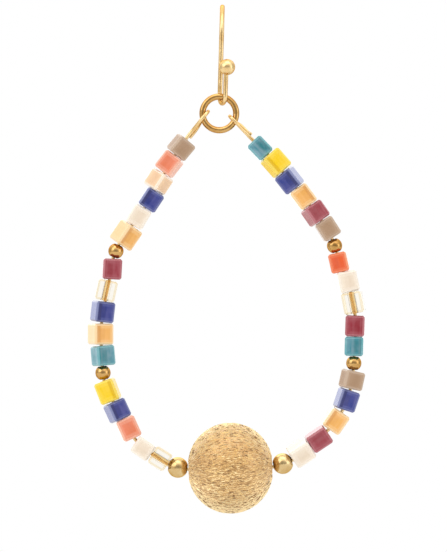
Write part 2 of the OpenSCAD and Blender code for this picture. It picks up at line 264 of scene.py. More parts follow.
def brushed_plate(tint):
    """Gold electroplate over a hollow brass ball, scratch-brushed from hole to hole and lacquered:
    short strokes, painted bright as glints or dark as flecks of painted shade, on a ground painted
    deeper as shade that shows between them."""
    material, tree, place = new_material("gold electroplate, scratch-brushed")
    # Each stroke carries a tone from 0.3 to 1, and the bare ground has none, which reads as 0
    stroke = add(tree, "ShaderNodeAttribute", attribute_name="tone").outputs["Fac"]
    # The ground is pitted, about 0.15 mm across, and painted deeper than the strokes as shade, deepest in
    # its pits
    pits = add(tree, "ShaderNodeTexNoise", {"Vector": place, "Scale": 1 / (0.15 * MM), "Detail": 2.0})
    pitted = add(tree, "ShaderNodeMapRange", {0: pits, 1: 0.4, 2: 0.6, 3: 0.0, 4: 1.0})
    deep, shallow = scaled(tint, (0.58, 0.46, 0.32)), scaled(tint, (0.8, 0.74, 0.64))
    ground = add(tree, "ShaderNodeMix", {0: pitted, 6: deep, 7: shallow}, data_type="RGBA")
    # A bright stroke is painted paler as a glint the higher its tone, by an amount that drifts over about
    # 3 mm
    drift = add(tree, "ShaderNodeTexNoise", {"Vector": place, "Scale": 1 / (3 * MM), "Detail": 1.0})
    drifted = add(tree, "ShaderNodeMapRange", {0: drift, 1: 0.3, 2: 0.7, 3: 0.75, 4: 1.0})
    share = add(tree, "ShaderNodeMath", {0: stroke, 1: drifted}, operation="MULTIPLY")
    pale = scaled(tint, (1.3, 1.45, 1.8))
    bright = add(tree, "ShaderNodeMix", {0: share, 6: list(tint), 7: pale}, data_type="RGBA")
    # The lowest tones, about one stroke in six, are dark flecks of painted shade
    painted_shade_fleck = scaled(tint, (0.2, 0.12, 0.05))
    is_stroke = add(tree, "ShaderNodeMath", {0: stroke, 1: 0.05}, operation="GREATER_THAN")
    is_glint = add(tree, "ShaderNodeMath", {0: stroke, 1: 0.42}, operation="GREATER_THAN")
    tone = ground
    for share, laid in ((is_stroke, painted_shade_fleck), (is_glint, bright)):
        tone = add(tree, "ShaderNodeMix", {0: share, 6: tone, 7: laid}, data_type="RGBA")
    # A brush polishes what it strokes: the ground stays rougher
    polish = add(tree, "ShaderNodeMapRange", {0: stroke, 1: 0.0, 2: 1.0, 3: 0.55, 4: 0.34})
    relief = add(tree, "ShaderNodeBump", {"Height": pits, "Strength": 0.6, "Distance": 0.025 * MM})
    shader = add(
        tree, "ShaderNodeBsdfPrincipled",
        {"Base Color": tone, "Metallic": 0.85, "Roughness": polish, "Normal": relief,
         "Sheen Weight": 1.0, "Sheen Roughness": 0.5, "Sheen Tint": linear("#ffe4bc"),
         "Coat Weight": 1.0, "Coat Roughness": 0.3, "Coat IOR": 1.5},
    )
    add(tree, "ShaderNodeOutputMaterial", {"Surface": shader})
    return material


# Glass. How each one is coloured: how far its bore shows as a deeper band of painted shade, how
# much paler its sides are round their middles as painted light, how much paler its edges are as
# painted highlights, how pale its shown side is as a painted sheen, how much deeper the half next
# to that side is as painted shade (- is the other half), how deep the painted shade line along
# that side is (- is along the other one), how silky its bands are, and its fired lustre
GLASS = {
    # slot: (bore shade, frame light, edge highlight, side sheen, shaded half, shade line, silkiness,
    # lustre)
    "glass_taupe": (0.12, 0.08, 0.25, 0.1, 0.0, 0.0, 0.1, 0.05),
    "glass_coral": (0.1, 0.2, 0.4, 0.4, -0.1, 0.0, 0.2, 0.4),
    "glass_peach": (0.2, 0.1, 1.0, 0.0, 0.15, 0.1, 0.3, 0.9),
    "glass_navy": (0.0, 0.08, 0.25, 0.7, 0.3, 0.65, 0.2, 0.3),
    "glass_ivory": (0.12, 0.25, 0.6, 0.6, -0.08, 0.0, 0.2, 0.5),
    "glass_apricot": (0.0, 0.2, 0.6, 0.65, 0.15, 0.5, 0.3, 0.5),
    "glass_burgundy": (0.05, 0.05, 0.25, 0.25, 0.2, 0.15, 0.3, 0.4),
    "glass_teal": (0.15, 0.05, 0.3, 0.1, 0.3, 0.4, 0.7, 0.4),
    "glass_yellow": (0.0, 0.15, 0.4, 0.0, 0.0, 0.45, 0.2, 0.15),
    "glass_orange": (0.1, 0.12, 0.2, 0.4, -0.2, 0.0, 0.2, 0.5),
}


def silky_bands(tree, in_bead, cloud, tint, silkiness):
    """Bands that run along the bore, about 0.4 mm wide, in a batch that clouds over."""
    deep = scaled(tint, [1 - 0.3 * silkiness] * 3)
    pale = [c + (silk - c) * 0.4 * silkiness for c, silk in zip(tint, linear("#d8c6d4"))]
    drawn_out = add(tree, "ShaderNodeMapping", {"Vector": in_bead, "Scale": (0.2, 1 / 0.4, 1 / 0.4)})
    bands = add(tree, "ShaderNodeTexNoise", {"Vector": drawn_out, "Scale": 1.0, "Detail": 2.0})
    clouded = add(tree, "ShaderNodeMath", {0: bands, 1: cloud}, operation="ADD")
    share = add(tree, "ShaderNodeMapRange", {0: clouded, 1: 0.75, 2: 1.25, 3: 0.0, 4: 1.0})
    return add(tree, "ShaderNodeMix", {0: share, 6: deep, 7: pale}, data_type="RGBA")


def painted_shade_half_and_line(tree, shown_side, shown_mm, to_rim, half, shade_line):
    """How much painted shade lies in one half of a cube and in a line along one side. Both show
    on the faces square to the shown side, and not on that side or the one opposite."""
    inside = add(tree, "ShaderNodeMapRange", {0: to_rim, 1: 0.75, 2: 0.95, 3: 1.0, 4: 0.2}, **EASED)
    one_way, shade_line_way = math.copysign(1, half), math.copysign(1, shade_line)
    # The half next to the shown side is painted deeper, as painted shade seen through the glass
    halved = add(
        tree, "ShaderNodeMapRange",
        {0: shown_mm, 1: -0.15 * one_way, 2: 0.15 * one_way, 3: 0.0, 4: abs(half)}, **EASED,
    )
    painted_shade_in_half = add(tree, "ShaderNodeMath", {0: halved, 1: inside}, operation="MULTIPLY")
    # A line along one side is painted deeper, as painted shade
    in_shade_line = add(
        tree, "ShaderNodeMapRange",
        {0: shown_mm, 1: 0.5 * shade_line_way, 2: 0.8 * shade_line_way, 3: 0.0, 4: abs(shade_line)}, **EASED,
    )
    deeper = add(tree, "ShaderNodeMath", {0: painted_shade_in_half, 1: in_shade_line}, operation="MAXIMUM")
    sideways = add(tree, "ShaderNodeMath", {0: shown_side}, operation="ABSOLUTE")
    face_on = add(tree, "ShaderNodeMath", {0: 1.0, 1: sideways}, operation="SUBTRACT")
    return add(tree, "ShaderNodeMath", {0: deeper, 1: face_on}, operation="MULTIPLY")


def lustred_glass(slot, tint):
    """Pressed glass with fired-soft facets under a thin lustre: silky bands along the bore, which
    shows through as a band of painted shade, with painted light round the middles of the sides and
    on the edges, a painted sheen on the shown side, painted shade in one half and in a line along a
    side, and a wet gloss that turns white when it grazes."""
    bore_shade, frame_light, edges, side_sheen, half, shade_line, silkiness, lustre = GLASS[slot]
    material, tree, place = new_material(slot.replace("glass_", "lustred glass, "))
    in_bead = add(tree, "ShaderNodeAttribute", attribute_name="in_bead").outputs["Vector"]
    bevel, shown_side, shown_mm = [
        add(tree, "ShaderNodeAttribute", attribute_name=name).outputs["Fac"]
        for name in ("bevel", "shown_side", "shown_mm")
    ]
    # The batch clouds over about 1.5 mm
    cloud = add(tree, "ShaderNodeTexNoise", {"Vector": place, "Scale": 1 / (1.5 * MM), "Detail": 2.0})
    # Distances over a side in millimetres: from the line above the bore, and from the middle
    # towards the nearest rim
    parts = add(tree, "ShaderNodeSeparateXYZ", {0: in_bead}).outputs
    along, one, other = [add(tree, "ShaderNodeMath", {0: p}, operation="ABSOLUTE") for p in parts]
    off_middle = add(tree, "ShaderNodeMath", {0: one, 1: other}, operation="MINIMUM")
    to_rim = add(tree, "ShaderNodeMath", {0: off_middle, 1: along}, operation="MAXIMUM")
    # The side turned to the front is painted paler, as a painted sheen
    painted_sheen_on_shown = add(tree, "ShaderNodeMapRange", {0: shown_side, 1: 0.0, 2: 1.0, 3: 0.0, 4: side_sheen})
    # The bore is painted as a deeper band of shade, where it would show through the glass
    painted_bore_shade = add(
        tree, "ShaderNodeMapRange", {0: off_middle, 1: 0.25, 2: 0.75, 3: bore_shade, 4: 0.0}, **EASED,
    )
    # Painted light: each side is paler towards its rims, round its middle
    painted_light_frame = add(
        tree, "ShaderNodeMapRange", {0: to_rim, 1: 0.75, 2: 0.95, 3: 0.0, 4: frame_light}, **EASED,
    )
    deeper = painted_shade_half_and_line(tree, shown_side, shown_mm, to_rim, half, shade_line)
    # Painted highlights: the bevels and the parts near the edges are paler
    near_edge = add(
        tree, "ShaderNodeMapRange", {0: off_middle, 1: 1.0, 2: 1.3, 3: 0.0, 4: 0.5 * edges}, **EASED,
    )
    on_bevel = add(tree, "ShaderNodeMath", {0: bevel, 1: edges}, operation="MULTIPLY")
    painted_edge_highlight = add(tree, "ShaderNodeMath", {0: on_bevel, 1: near_edge}, operation="MAXIMUM")
    # Each of these painted lights and shades lies over the ones before it
    pale, deep = [c ** 0.3 for c in tint], scaled(tint, (0.6, 0.45, 0.35))
    tone = silky_bands(tree, in_bead, cloud, tint, silkiness)
    layers = ((painted_sheen_on_shown, pale), (painted_bore_shade, deep), (painted_light_frame, pale), (deeper, deep), (painted_edge_highlight, pale))
    for share, laid in layers:
        tone = add(tree, "ShaderNodeMix", {0: share, 6: tone, 7: laid}, data_type="RGBA")
    # Facets fired soft wave over about 0.7 mm
    waves = add(tree, "ShaderNodeTexNoise", {"Vector": place, "Scale": 1 / (0.7 * MM), "Detail": 1.0})
    soft = add(tree, "ShaderNodeBump", {"Height": waves, "Strength": 0.3, "Distance": 0.03 * MM})
    gloss = add(tree, "ShaderNodeMapRange", {0: cloud, 1: 0.3, 2: 0.7, 3: 0.06, 4: 0.16})
    shader = add(
        tree, "ShaderNodeBsdfPrincipled",
        {"Base Color": tone, "Roughness": gloss, "IOR": 1.45, "Specular IOR Level": 0.5 * lustre,
         "Coat Weight": lustre, "Coat IOR": 1.5, "Coat Roughness": 0.04, "Normal": soft},
    )
    add(tree, "ShaderNodeOutputMaterial", {"Surface": shader})
    return material


def clear_glass(tint):
    """Clear pressed glass with a champagne lining in its bore, through which the wire shows; its
    facets wave softly from the firing, over about 0.8 mm."""
    material, tree, place = new_material("clear glass, champagne-lined")
    bevel, in_bore = [
        add(tree, "ShaderNodeAttribute", attribute_name=name).outputs["Fac"]
        for name in ("bevel", "in_bore")
    ]
    waves = add(tree, "ShaderNodeTexNoise", {"Vector": place, "Scale": 1 / (0.8 * MM), "Detail": 1.0})
    soft = add(tree, "ShaderNodeBump", {"Height": waves, "Strength": 0.2, "Distance": 0.03 * MM})
    # The bevels are painted golden, as a painted reflection of the gold lining and wire
    painted_gold_reflection, lining = scaled(tint, (0.9, 0.76, 0.5)), scaled(tint, (0.88, 0.66, 0.32))
    tone = scaled(tint, (1.0, 0.97, 0.9))
    for share, laid in ((waves, list(tint)), (bevel, painted_gold_reflection), (in_bore, lining)):
        tone = add(tree, "ShaderNodeMix", {0: share, 6: tone, 7: laid}, data_type="RGBA")
    shader = add(
        tree, "ShaderNodeBsdfPrincipled",
        {"Base Color": tone, "Roughness": 0.0, "IOR": 1.52, "Transmission Weight": 1.0, "Normal": soft},
    )
    add(tree, "ShaderNodeOutputMaterial", {"Surface": shader})
    return material


def floor_paper():
    """Matt white paper, with a faint tooth, drawn about 4 mm across."""
    material, tree, place = new_material("white paper, matt")
    tooth = add(tree, "ShaderNodeTexNoise", {"Vector": place, "Scale": 1 / (4 * MM), "Detail": 3.0})
    grey, white = linear("#f1f0ee"), linear("#f8f8f7")
    tone = add(tree, "ShaderNodeMix", {0: tooth, 6: grey, 7: white}, data_type="RGBA")
    shader = add(tree, "ShaderNodeBsdfPrincipled", {"Base Color": tone, "Roughness": 0.8})
    add(tree, "ShaderNodeOutputMaterial", {"Surface": shader})
    return material


# Meshes and objects
def mesh_of(name, shape):
    """A mesh of what a bmesh holds. The bmesh is freed."""
    mesh = bpy.data.meshes.new(name)
    shape.to_mesh(mesh)
    shape.free()
    return mesh


def closed_mesh(name, verts, faces):
    """A closed mesh whose faces all look outwards."""
    mesh = bpy.data.meshes.new(name)
    mesh.from_pydata(verts, [], faces)
    shape = bmesh.new()
    shape.from_mesh(mesh)
    bmesh.ops.recalc_face_normals(shape, faces=shape.faces)
    shape.to_mesh(mesh)
    shape.free()
    return mesh


def store(mesh, name, kind, domain, values):
    """Stores an attribute that the mesh's material or nodes read."""
    field = "vector" if kind == "FLOAT_VECTOR" else "value"
    mesh.attributes.new(name, kind, domain).data.foreach_set(field, values)


def new_object(name, data):
    """An object in the scene for a mesh, a curve, a light or a camera."""
    made = bpy.data.objects.new(name, data)
    bpy.context.scene.collection.objects.link(made)
    return made


def new_piece(name, mesh, material):
    """A mesh object at the origin, with its material."""
    mesh.materials.append(material)
    return new_object(name, mesh)


def plain(piece):
    """Turns a piece with modifiers into a plain mesh piece of the same name."""
    graph = bpy.context.evaluated_depsgraph_get()
    mesh = bpy.data.meshes.new_from_object(
        piece.evaluated_get(graph), preserve_all_data_layers=True, depsgraph=graph,
    )
    name = piece.name
    bpy.data.objects.remove(piece)
    mesh.name = name
    return new_object(name, mesh)


def seat(piece, body, node):
    """Lets a piece ride on its body and stand for its CAD node."""
    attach(piece, body)
    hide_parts(node)


def spaced(start, sweep, steps):
    """Evenly spaced values from start over a sweep, with both ends."""
    return [start + sweep * k / steps for k in range(steps + 1)]


# Wires
def new_tree(name, inputs, output):
    """A Geometry Nodes tree with named inputs and one output of geometry."""
    tree = bpy.data.node_groups.new(name, "GeometryNodeTree")
    for socket, kind in inputs.items():
        tree.interface.new_socket(socket, in_out="INPUT", socket_type="NodeSocket" + kind)
    tree.interface.new_socket(output, in_out="OUTPUT", socket_type="NodeSocketGeometry")
    return tree


def wire_tree():
    """Geometry Nodes that sweep a round section along a curve."""
    name = "wire along a course"
    if name in bpy.data.node_groups:
        return bpy.data.node_groups[name]
    inputs = {"Course": "Geometry", "Thickness": "Float", "Sides": "Int", "Finish": "Material"}
    tree = new_tree(name, inputs, "Wire")
    given = add(tree, "NodeGroupInput").outputs
    half = add(tree, "ShaderNodeMath", {0: given["Thickness"], 1: 0.5}, operation="MULTIPLY")
    section = add(
        tree, "GeometryNodeCurvePrimitiveCircle", {"Resolution": given["Sides"], "Radius": half},
    )
    swept = add(
        tree, "GeometryNodeCurveToMesh",
        {"Curve": given["Course"], "Profile Curve": section, "Fill Caps": True},
    )
    smooth = add(tree, "GeometryNodeSetShadeSmooth", {"Geometry": swept})
    real = add(tree, "GeometryNodeRealizeInstances", {"Geometry": smooth})
    finished = add(tree, "GeometryNodeSetMaterial", {"Geometry": real, "Material": given["Finish"]})
    add(tree, "NodeGroupOutput", {0: finished})
    return tree


def give_inputs(piece, tree, values):
    """Adds a Geometry Nodes modifier and sets its inputs by name, through their identifiers."""
    modifier = piece.modifiers.new(tree.name, "NODES")
    modifier.node_group = tree
    for item in tree.interface.items_tree:
        if item.in_out == "INPUT" and item.name in values:
            modifier[item.identifier] = values[item.name]


def smooth_course(points, steps):
    """A finer course through points, with a round bend at each."""
    points = [Vector(p) for p in points]
    ends = [2 * points[0] - points[1], *points, 2 * points[-1] - points[-2]]
    fine = []
    for a, b, c, d in zip(ends, ends[1:], ends[2:], ends[3:]):
        for k in range(steps):
            t = k / steps
            fine.append(
                0.5 * (2 * b + (c - a) * t + (2 * a - 5 * b + 4 * c - d) * t ** 2
                       + (3 * b - a - 3 * c + d) * t ** 3)
            )
    return fine + [points[-1]]


# Where the rings of a round tip lie on its dome, up from the wire's own width, in degrees
TIP_RINGS = (88, 70, 50, 30, 15)


def bent_wire(name, course, thickness, sides, material, round_tip=False):
    """A wire swept along a course; a round tip, where it has one, is at the course's start."""
    swell = [1.0] * len(course)
    if round_tip:
        radius, away = thickness / 2, (course[0] - course[1]).normalized()
        rings = [math.radians(ring) for ring in TIP_RINGS]
        dome = [course[0] + away * radius * (math.sin(ring) - 1) for ring in rings]
        course = [*dome, course[0] - away * radius, *course[1:]]
        swell = [math.cos(ring) for ring in rings] + swell
    curve = bpy.data.curves.new(name + "_course", "CURVE")
    curve.dimensions = "3D"
    spline = curve.splines.new("POLY")
    spline.points.add(len(course) - 1)
    for point, place, size in zip(spline.points, course, swell):
        point.co = (*place, 1)
        point.radius = size
    piece = new_object(name, curve)
    give_inputs(piece, wire_tree(), {"Thickness": thickness, "Sides": sides, "Finish": material})
    return plain(piece)


def levels_from(start):
    """Spreads over a mesh from some of its vertices, and gives what each step along its edges
    reaches first."""
    level, reached = start, set(start)
    while level:
        yield level
        onward = []
        for vert in level:
            for edge in vert.link_edges:
                other = edge.other_vert(vert)
                if other not in reached:
                    reached.add(other)
                    onward.append(other)
        level = onward


def course_of(node):
    """The middle line of a swept CAD solid, ring by ring from one end to the other."""
    hair = 1e-3 * MM
    shape = bmesh.new()
    shape.from_mesh(frame["nodes"][node].data)
    bmesh.ops.remove_doubles(shape, verts=shape.verts, dist=hair)
    shape.verts.ensure_lookup_table()
    # What lies most edges away from any vertex is at one end, and most edges away from that at
    # the other end
    tip = shape.verts[0]
    for _ in range(2):
        *_, last = levels_from([tip])
        tip = last[0]
    # The flat end is its face whose vertices have the fewest edges, and its ring lies in its plane
    flat = min(tip.link_faces, key=lambda face: sum(len(v.link_edges) for v in face.verts)).normal
    end_ring = [
        v for v in shape.verts
        if (v.co - tip.co).length < 1 * MM and abs((v.co - tip.co).dot(flat)) < hair
    ]
    middles = [sum((v.co for v in ring), Vector()) / len(ring) for ring in levels_from(end_ring)]
    shape.free()
    return middles


def ear_wire_course(sizes):
    """The ear wire's course from its tail to its front leg, and the leg's upper end."""
    arch, loop = sizes.arch, sizes.small_loop
    kink = Vector((0, arch, -arch - sizes.tail_drop))
    outwards = Vector((0, math.sin(sizes.tail_kink), -math.cos(sizes.tail_kink)))
    course = [kink + outwards * sizes.tail_pin * k / 4 for k in (4, 3, 2, 1)]
    # The kink is bent over half a millimetre
    course += [kink + outwards * 0.25 * MM, kink + Vector((0, 0, 0.25 * MM))]
    course += [
        Vector((0, arch * math.cos(a), arch * math.sin(a) - arch)) for a in spaced(0, math.pi, steps=48)
    ]
    foot = Vector((0, -arch, -arch - sizes.shank))
    course += [foot + Vector((0, 0, sizes.shank * k / 6)) for k in (5, 4, 3, 2, 1)]
    forward = Vector((math.sin(sizes.small_loop_turn), -math.cos(sizes.small_loop_turn), 0))
    course += [
        foot + forward * loop * (1 - math.cos(a)) - Vector((0, 0, loop * math.sin(a)))
        for a in spaced(0, math.pi, steps=24)
    ]
    top = foot + forward * 2 * loop + Vector((0, 0, sizes.front_leg))
    course += [top - Vector((0, 0, sizes.front_leg * k / 4)) for k in (3, 2, 1, 0)]
    return course, top


# The front ball sits a little off the leg's upper end, with the leg's end in it
FRONT_BALL_OFF = Vector((0.12, -0.1, -0.36)) * MM


def front_ball(sizes, lean, top):
    """The ball on the front leg, seated in line with the small loop."""
    turn = Matrix.Rotation(sizes.small_loop_turn, 3, "Z")
    centre = lean @ (top + turn @ FRONT_BALL_OFF)
    radius, rows = sizes.front_ball / 2, 32
    arc = [math.pi * (k + 0.5) / rows for k in range(rows)]
    outline = [(radius * math.cos(a), radius * math.sin(a)) for a in arc]
    return turned("front_ball", outline, lean @ Vector((0, 0, 1)), centre, sides=48)


# Beads
def turned(name, outline, along, middle, sides):
    """A closed solid of revolution: an outline of (along, out) points, turned about an axis."""
    along = along.normalized()
    side = along.cross(Vector((0, 1, 0))).normalized()
    up = side.cross(along)
    angles = [2 * math.pi * k / sides for k in range(sides)]
    verts = [
        middle + along * x + side * (r * math.cos(a)) + up * (r * math.sin(a))
        for x, r in outline for a in angles
    ]
    rows = len(outline)
    faces = []
    for i in range(rows):
        here, there = i * sides, (i + 1) % rows * sides
        for k in range(sides):
            onward = (k + 1) % sides
            faces.append((here + k, there + k, there + onward, here + onward))
    mesh = closed_mesh(name, verts, faces)
    mesh.shade_smooth()
    return mesh


def ball_outline(radius, bore, rim, steps, offset=0.0):
    """Outer outline of a drilled ball from hole to hole, with round rims."""
    start = math.asin((bore / 2 + rim - offset) / radius)
    arc = spaced(start, math.pi - 2 * start, steps)
    outer = [(radius * math.cos(a), offset + radius * math.sin(a)) for a in arc]
    # Each rim has a point part of the way round, and one where the bore begins
    reach = radius * math.cos(start)
    lip = [(reach - rim * 0.2, bore / 2 + rim * 0.2), (reach - rim, bore / 2)]
    return lip[::-1] + outer + [(-x, r) for x, r in lip]


def bead_axis(i):
    """The way the string runs through a bead, from its neighbours."""
    return (MIDDLES[min(i + 1, len(MIDDLES) - 1)] - MIDDLES[max(i - 1, 0)]).normalized()


def cube_pose(i):
    """Three axes (the bore's first) and three sizes of a glass cube, from its CAD solid."""
    mesh, towards = frame["nodes"][BEADS[i]].data, bead_axis(i)
    # Faces that look the same way, or straight the other way, count together
    areas = {}
    for face in mesh.polygons:
        n = face.normal
        sign = 1 if max(n, key=abs) > 0 else -1
        key = tuple(round(sign * c, 2) + 0.0 for c in n)
        total, summed = areas.get(key, (0, Vector()))
        areas[key] = (total + face.area, summed + sign * face.area * n)
    # The cube's sides are its largest faces, and the bore runs nearest to the string's way
    largest = sorted(areas.values(), key=lambda area: -area[0])[:3]
    axes = [summed.normalized() for _, summed in largest]
    bore = max(axes, key=lambda axis: abs(axis.dot(towards)))
    axes.remove(bore)
    bore = bore * (1 if bore.dot(towards) > 0 else -1)
    side = axes[0]
    side = (side - bore * side.dot(bore)).normalized()
    axes = [bore, side, bore.cross(side)]
    return axes, [2 * max(abs((v.co - MIDDLES[i]).dot(a)) for v in mesh.vertices) for a in axes]


def drilled_cube(name, size, sizes, material):
    """A glass cube at the origin with its bore along X, one bevel along each edge, and soft edges
    where its facets meet."""
    shape = bmesh.new()
    bmesh.ops.create_cube(shape, size=1, matrix=Matrix.Diagonal((*size, 1)))
    bmesh.ops.bevel(
        shape, geom=shape.edges[:], offset=sizes.cube_bevel, segments=1, affect="EDGES", profile=0.5,
    )
    piece = new_piece(name, mesh_of(name, shape), material)
    # The drill is twice as long as the cube
    shape = bmesh.new()
    bmesh.ops.create_cone(
        shape, cap_ends=True, segments=48, radius1=sizes.cube_bore / 2, radius2=sizes.cube_bore / 2,
        depth=2 * size[0], matrix=Matrix.Rotation(math.pi / 2, 4, "Y"),
    )
    drill_mesh = mesh_of("drill", shape)
    drill = new_object("drill", drill_mesh)
    drilled = piece.modifiers.new("bore", "BOOLEAN")
    drilled.operation, drilled.solver, drilled.object = "DIFFERENCE", "EXACT", drill
    rounded = piece.modifiers.new("rounding", "BEVEL")
    rounded.width, rounded.segments, rounded.limit_method = sizes.cube_rounding, 3, "ANGLE"
    rounded.angle_limit, rounded.harden_normals = math.radians(25), True
    piece.data.shade_smooth()
    piece = plain(piece)
    bpy.data.objects.remove(drill)
    bpy.data.meshes.remove(drill_mesh)
    return piece


# A facet counts as a bevel where its normal's largest part is below this
SQUARE = 0.995
# The bore's wall is found within this many bore radii
BORE_REACH = 1.02


def mark_facets(mesh, sizes):
    """Tells the glass where a point is in its bead, in millimetres, and which facets are bevels
    or lie in the bore. The cube is still at the origin."""
    store(mesh, "in_bead", "FLOAT_VECTOR", "POINT", [c / MM for v in mesh.vertices for c in v.co])
    bevel = [float(max(abs(c) for c in face.normal) < SQUARE) for face in mesh.polygons]
    store(mesh, "bevel", "FLOAT", "FACE", bevel)
    reach = BORE_REACH * sizes.cube_bore / 2
    in_bore = [float(Vector(face.center).yz.length < reach) for face in mesh.polygons]
    store(mesh, "in_bore", "FLOAT", "FACE", in_bore)


# How much looking out of the loop counts beside looking to the front, for a cube's shown side
LOOKS_OUT = 0.08


def mark_shown_side(mesh, middle, axes):
    """Tells the glass which side the cube turns to the front beside its face or, on a cube that
    is hardly turned, which side looks out of the loop."""
    out = ((middle - CENTRE) * Vector((1, 0, 1))).normalized()
    aside = min(axes[1:], key=lambda axis: abs(axis.y))
    shown = max((aside, -aside), key=lambda way: LOOKS_OUT * way.dot(out) - way.y)
    # The glass paints its sheen and its shade by this side
    store(mesh, "shown_side", "FLOAT", "FACE", [face.normal.dot(shown) for face in mesh.polygons])
    across = [(v.co - middle).dot(shown) / MM for v in mesh.vertices]
    store(mesh, "shown_mm", "FLOAT", "POINT", across)


def glass_cube(name, i, sizes, material):
    """A bevelled glass cube in its place on the wire."""
    axes, size = cube_pose(i)
    cube = drilled_cube(name, size, sizes, material)
    mark_facets(cube.data, sizes)
    turn = Matrix(axes).transposed()
    cube.data.transform(Matrix.Translation(MIDDLES[i]) @ turn.to_4x4())
    mark_shown_side(cube.data, MIDDLES[i], axes)
    return cube


def stroke_mesh():
    """One brush stroke of unit size: a low closed ridge along X that tapers to both tips, with its
    foot a little under the surface."""
    foot, deep = -0.25, -0.5
    verts = [(-0.5, 0, deep), (0.5, 0, deep)]
    # Three sections, each with a foot on both sides and a crest a little off the middle
    for x, swell in ((-0.3, 0.75), (0.0, 1.0), (0.3, 0.75)):
        verts += [(x, -0.6 * swell, foot), (x, -0.1 * swell, swell), (x, 0.6 * swell, foot)]
    faces = []
    for k in range(3):
        onward = (k + 1) % 3
        faces.append((0, 2 + k, 2 + onward))
        faces.append((1, 8 + onward, 8 + k))
        faces += [(r + k, r + 3 + k, r + 3 + onward, r + onward) for r in (2, 5)]
    return closed_mesh("stroke", verts, faces)


def strokes_tree():
    """Geometry Nodes that lay brush strokes on a ball, along the lines from hole to hole."""
    name = "brush strokes"
    if name in bpy.data.node_groups:
        return bpy.data.node_groups[name]
    inputs = {
        "Ball": "Geometry", "Stroke": "Object", "Per Square Metre": "Float", "Length": "Float",
        "Width": "Float", "Height": "Float", "Wander": "Float", "Seed": "Int", "Finish": "Material",
    }
    tree = new_tree(name, inputs, "Brushed")
    given = add(tree, "NodeGroupInput").outputs
    seed = given["Seed"]
    outside = add(tree, "GeometryNodeInputNamedAttribute", {"Name": "outside"}, data_type="FLOAT")
    brush_way = add(
        tree, "GeometryNodeInputNamedAttribute", {"Name": "brush_way"}, data_type="FLOAT_VECTOR",
    )
    spots = add(
        tree, "GeometryNodeDistributePointsOnFaces",
        {"Mesh": given["Ball"], "Selection": outside, "Density": given["Per Square Metre"], "Seed": seed},
    ).outputs
    # Each stroke stands on the surface, lies along the brushing and strays a little from it
    upright = add(tree, "FunctionNodeAlignRotationToVector", {"Vector": spots["Normal"]}, axis="Z")
    along = add(
        tree, "FunctionNodeAlignRotationToVector", {"Rotation": upright, "Vector": brush_way},
        axis="X", pivot_axis="Z",
    )
    less = add(tree, "ShaderNodeMath", {0: given["Wander"], 1: -1.0}, operation="MULTIPLY")
    astray = add(
        tree, "FunctionNodeRandomValue", {2: less, 3: given["Wander"], "Seed": seed}, data_type="FLOAT",
    )
    turn = add(tree, "ShaderNodeCombineXYZ", {2: astray})
    strayed = add(tree, "FunctionNodeEulerToRotation", {0: turn})
    laid = add(
        tree, "FunctionNodeRotateRotation", {0: along, 1: strayed}, rotation_space="LOCAL",
    )
    # Its length, width and height are each uneven
    usual = add(
        tree, "ShaderNodeCombineXYZ", {0: given["Length"], 1: given["Width"], 2: given["Height"]},
    )
    second, third = [add(tree, "ShaderNodeMath", {0: seed, 1: k}, operation="ADD") for k in (1.0, 2.0)]
    uneven = add(
        tree, "FunctionNodeRandomValue", {0: (0.45, 0.7, 0.5), 1: (1.5, 1.3, 1.5), "Seed": second},
        data_type="FLOAT_VECTOR",
    )
    size = add(tree, "ShaderNodeVectorMath", {0: usual, 1: uneven}, operation="MULTIPLY")
    stroke = add(tree, "GeometryNodeObjectInfo", {"Object": given["Stroke"]}).outputs["Geometry"]
    strokes = add(
        tree, "GeometryNodeInstanceOnPoints",
        {"Points": spots["Points"], "Instance": stroke, "Rotation": laid, "Scale": size},
    )
    tone = add(tree, "FunctionNodeRandomValue", {2: 0.3, 3: 1.0, "Seed": third}, data_type="FLOAT")
    toned = add(
        tree, "GeometryNodeStoreNamedAttribute", {"Geometry": strokes, "Name": "tone", "Value": tone},
        data_type="FLOAT", domain="INSTANCE",
    )
    together = add(tree, "GeometryNodeJoinGeometry", {0: toned})
    tree.links.new(given["Ball"], together.inputs[0])
    real = add(tree, "GeometryNodeRealizeInstances", {"Geometry": together})
    finished = add(tree, "GeometryNodeSetMaterial", {"Geometry": real, "Material": given["Finish"]})
    add(tree, "NodeGroupOutput", {0: finished})
    return tree


# The large ball's rows from hole to hole outside and inside, and its points round the wire
OUTER_ROWS, INNER_ROWS, AROUND = 64, 12, 128
# The strokes keep off the holes: they end this far from the ball's waist
BRUSHED_TO = math.radians(79)


def hollow_ball(i, sizes):
    """The large hollow ball, a little wider across the wire than along it, with attributes that
    say where and which way it is brushed."""
    node, axis, middle = BEADS[i], bead_axis(i), MIDDLES[i]
    low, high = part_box(node)
    ends = [(v.co - middle).dot(axis) for v in frame["nodes"][node].data.vertices]
    radius = (max(ends) - min(ends)) / 2
    wider = (high.y - low.y) / 2 - radius
    outer = ball_outline(radius, sizes.ball_bore, sizes.rim, OUTER_ROWS, wider)
    inner_radius = radius - sizes.brushed_wall
    inner = ball_outline(inner_radius, sizes.ball_bore, sizes.rim, INNER_ROWS, wider)[1:-1]
    mesh = turned("brushed_ball", outer + inner[::-1], axis, middle, sides=AROUND)
    outside, brush_way = [], []
    for index, vert in enumerate(mesh.vertices):
        off = vert.co - middle
        out = off - axis * off.dot(axis)
        from_waist = math.atan2(off.dot(axis), max(1e-9, out.length - wider))
        brush_way += (axis * math.cos(from_waist) - out.normalized() * math.sin(from_waist))[:]
        outside.append(float(index // AROUND < len(outer) and abs(from_waist) < BRUSHED_TO))
    store(mesh, "brush_way", "FLOAT_VECTOR", "POINT", brush_way)
    store(mesh, "outside", "FLOAT", "POINT", outside)
    return mesh


